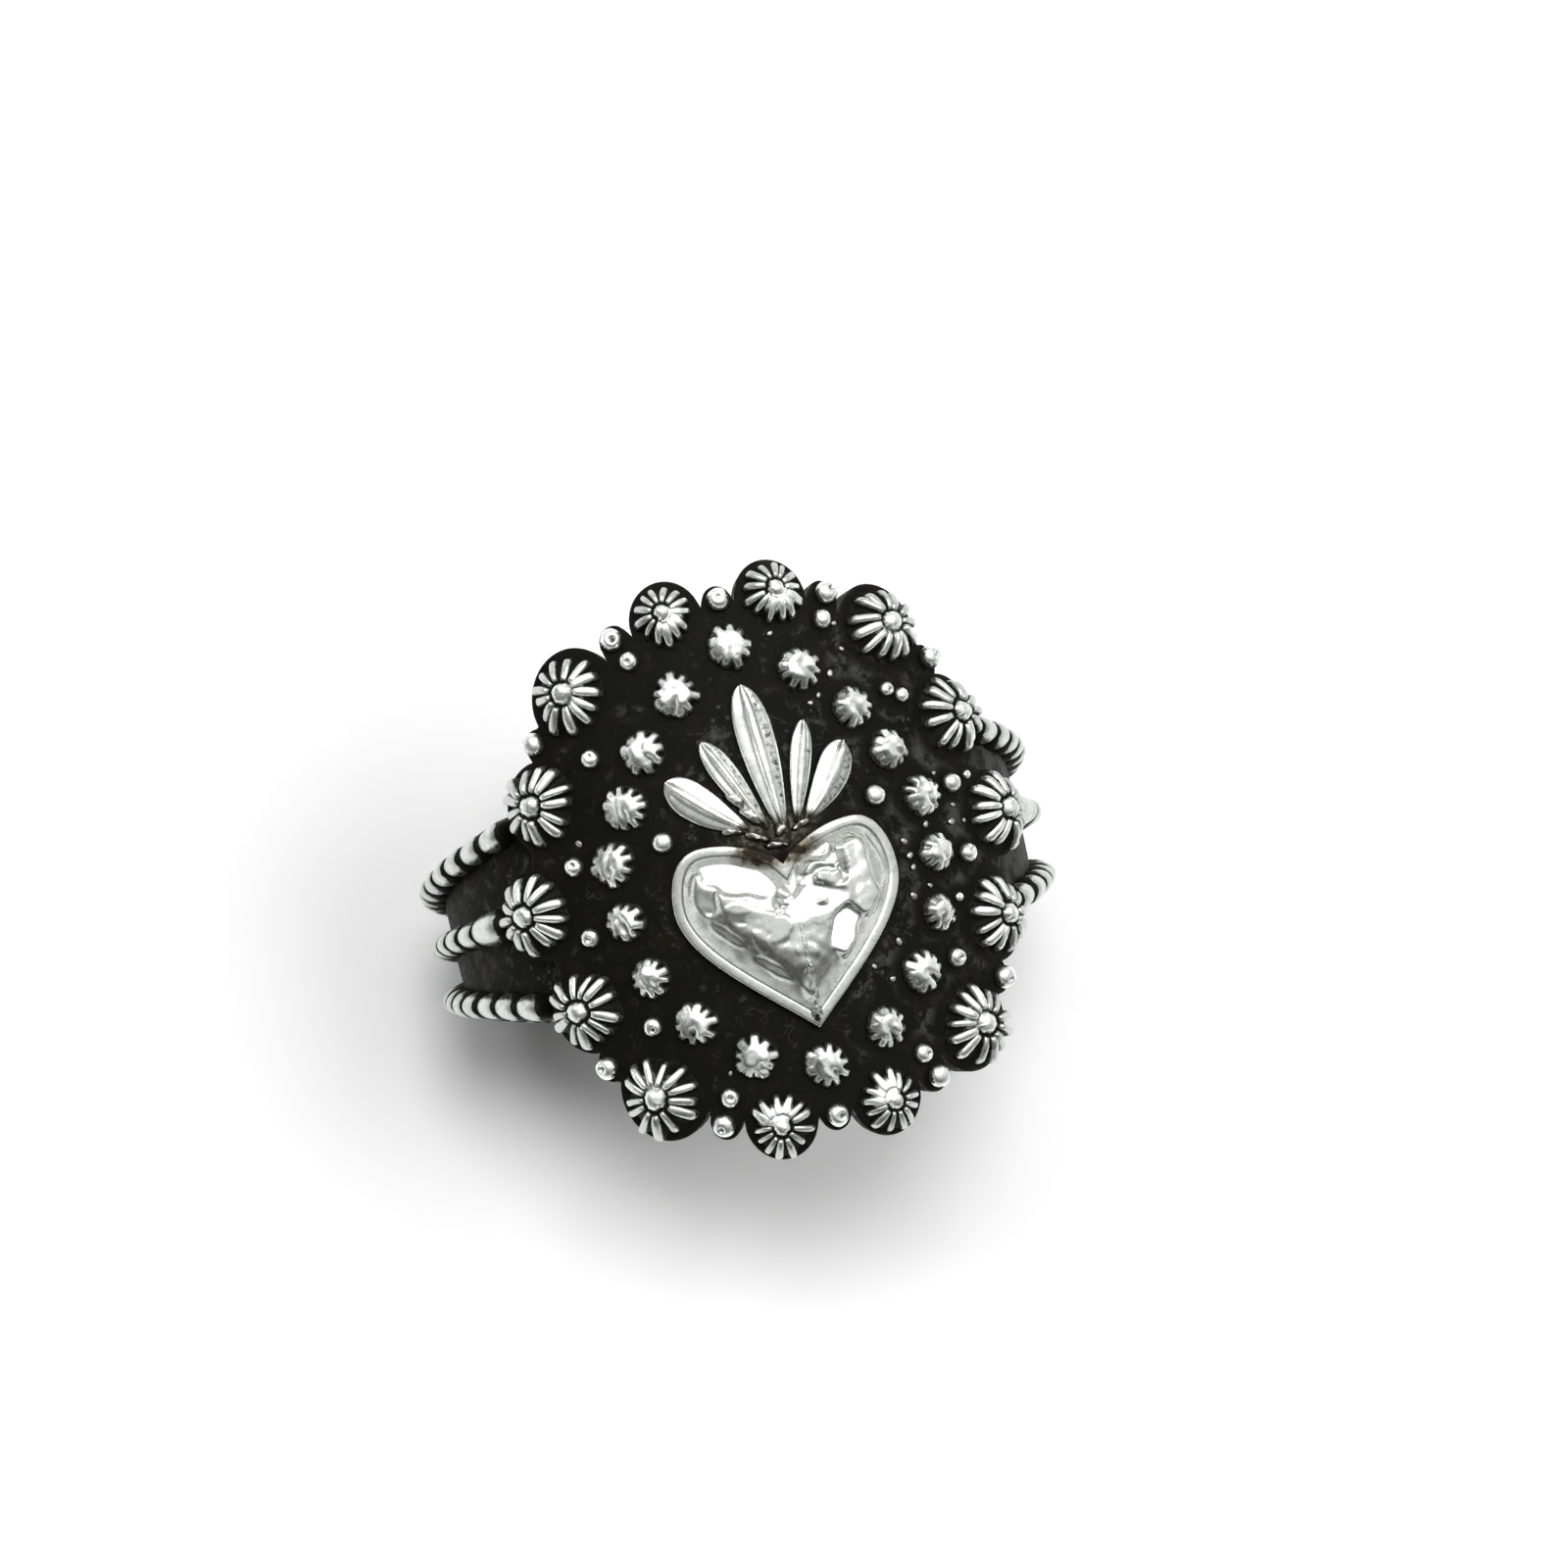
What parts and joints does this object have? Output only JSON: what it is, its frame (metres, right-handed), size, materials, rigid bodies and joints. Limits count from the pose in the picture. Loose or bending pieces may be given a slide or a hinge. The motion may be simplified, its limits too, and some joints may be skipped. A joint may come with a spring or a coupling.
{
  "type": "ex voto heart ring",
  "caption": "Finger ring with a curved round plate bearing a heart under flames, framed by rosettes and granules, on a band with beaded wires.",
  "frame": {"origin": "centre of the finger bore, halfway along the plate's length", "axes": "+Y runs along the finger towards the flames and the flame end of the plate, +Z points out of the middle of the ornamented face, +X is to the right when the face is seen from the front with the flames up"},
  "size_m": [0.0228, 0.0204, 0.0239],
  "materials": {
    "blackened_silver": "silver blackened with a dull patina, lightly pitted",
    "polished_silver": "bright polished silver with soft hand-made unevenness"
  },
  "bodies": {
    "root": {"beaded_wire_flame_side": "polished_silver", "beaded_wire_middle": "polished_silver", "beaded_wire_tip_side": "polished_silver", "face_plate": "blackened_silver", "flame_inner_left": "polished_silver", "flame_inner_right": "polished_silver", "flame_middle": "polished_silver", "flame_outer_left": "polished_silver", "flame_outer_right": "polished_silver", "heart": "polished_silver", "large_rosette_end_left_flame": "polished_silver", "large_rosette_end_left_tip": "polished_silver", "large_rosette_end_right_flame": "polished_silver", "large_rosette_end_right_tip": "polished_silver", "large_rosette_flank_left_flame": "polished_silver", "large_rosette_flank_left_tip": "polished_silver", "large_rosette_flank_right_flame": "polished_silver", "large_rosette_flank_right_tip": "polished_silver", "large_rosette_shoulder_left_flame": "polished_silver", "large_rosette_shoulder_left_tip": "polished_silver", "large_rosette_shoulder_right_flame": "polished_silver", "large_rosette_shoulder_right_tip": "polished_silver", "large_rosette_side_left": "polished_silver", "large_rosette_side_right": "polished_silver", "rim_granule_flame_end": "polished_silver", "rim_granule_flank_left_flame": "polished_silver", "rim_granule_flank_left_tip": "polished_silver", "rim_granule_flank_right_flame": "polished_silver", "rim_granule_flank_right_tip": "polished_silver", "rim_granule_shoulder_left_flame": "polished_silver", "rim_granule_shoulder_left_tip": "polished_silver", "rim_granule_shoulder_right_flame": "polished_silver", "rim_granule_shoulder_right_tip": "polished_silver", "rim_granule_tip_end": "polished_silver", "shank_band": "blackened_silver", "side_granule_left": "polished_silver", "side_granule_right": "polished_silver", "small_rosette_flame_end": "polished_silver", "small_rosette_left_1": "polished_silver", "small_rosette_left_2": "polished_silver", "small_rosette_left_3": "polished_silver", "small_rosette_left_4": "polished_silver", "small_rosette_left_5": "polished_silver", "small_rosette_left_6": "polished_silver", "small_rosette_left_7": "polished_silver", "small_rosette_left_8": "polished_silver", "small_rosette_right_1": "polished_silver", "small_rosette_right_2": "polished_silver", "small_rosette_right_3": "polished_silver", "small_rosette_right_4": "polished_silver", "small_rosette_right_5": "polished_silver", "small_rosette_right_6": "polished_silver", "small_rosette_right_7": "polished_silver", "small_rosette_right_8": "polished_silver", "small_rosette_tip_end": "polished_silver"}
  },
  "joints": []
}
